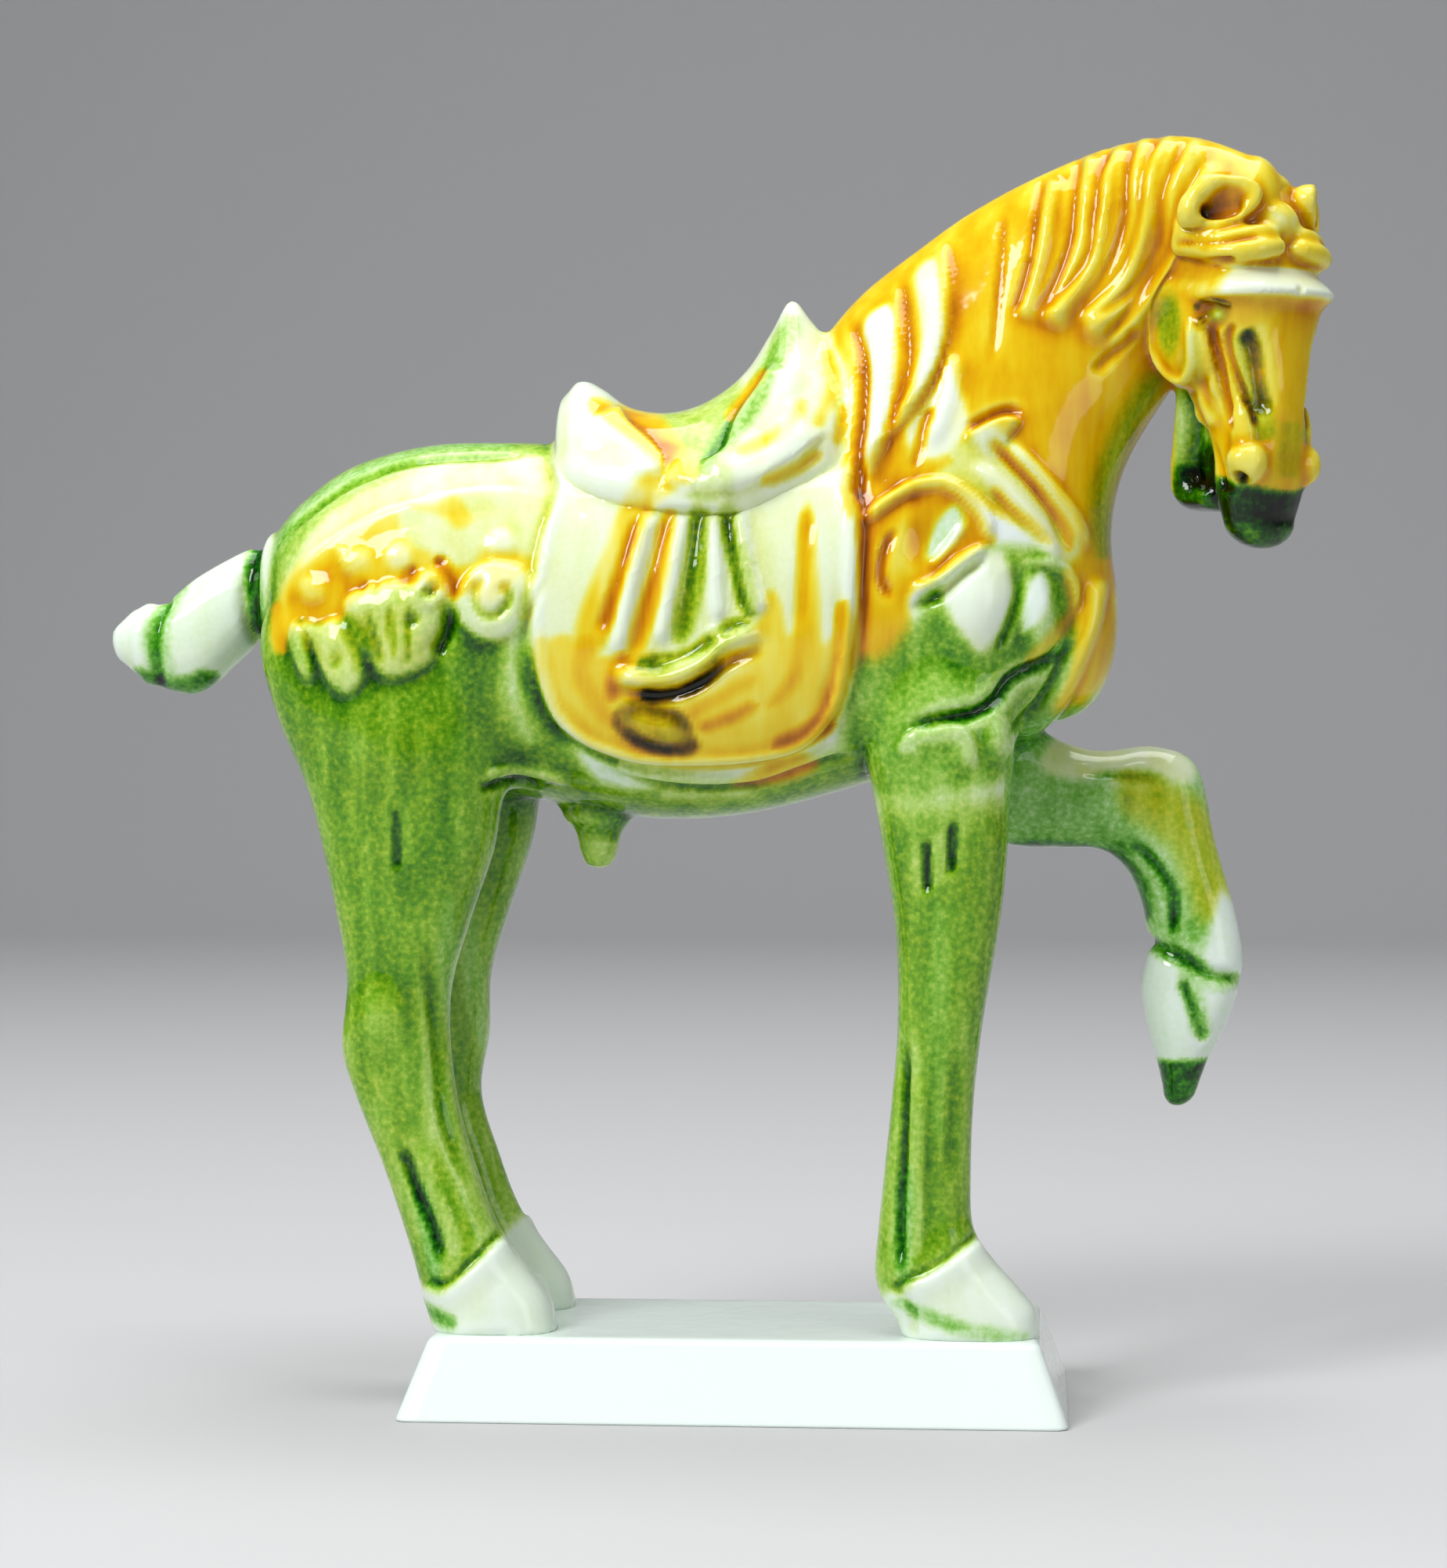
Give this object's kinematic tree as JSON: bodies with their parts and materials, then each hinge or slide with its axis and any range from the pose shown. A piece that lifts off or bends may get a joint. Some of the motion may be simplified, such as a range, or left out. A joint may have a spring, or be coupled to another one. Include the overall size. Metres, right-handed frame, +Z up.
{
  "type": "ceramic horse figurine",
  "caption": "Small glazed ceramic figurine of a saddled Tang-style horse with one foreleg raised, standing on a low rectangular plinth, in amber, green and cream runny glazes.",
  "frame": {"origin": "centre of the plinth's underside", "axes": "+X the way the horse walks, +Z up, +Y towards the horse's left side, which is the raised foreleg's side"},
  "size_m": [0.144, 0.04, 0.1482],
  "materials": {
    "three_colour_glaze": "glossy lead-type glaze in amber, green and cream that run into each other, darker where it pools",
    "cream_glaze": "glossy cream white glaze with a few green runs"
  },
  "bodies": {
    "root": {"horse": "three_colour_glaze", "plinth": "cream_glaze"}
  },
  "joints": []
}
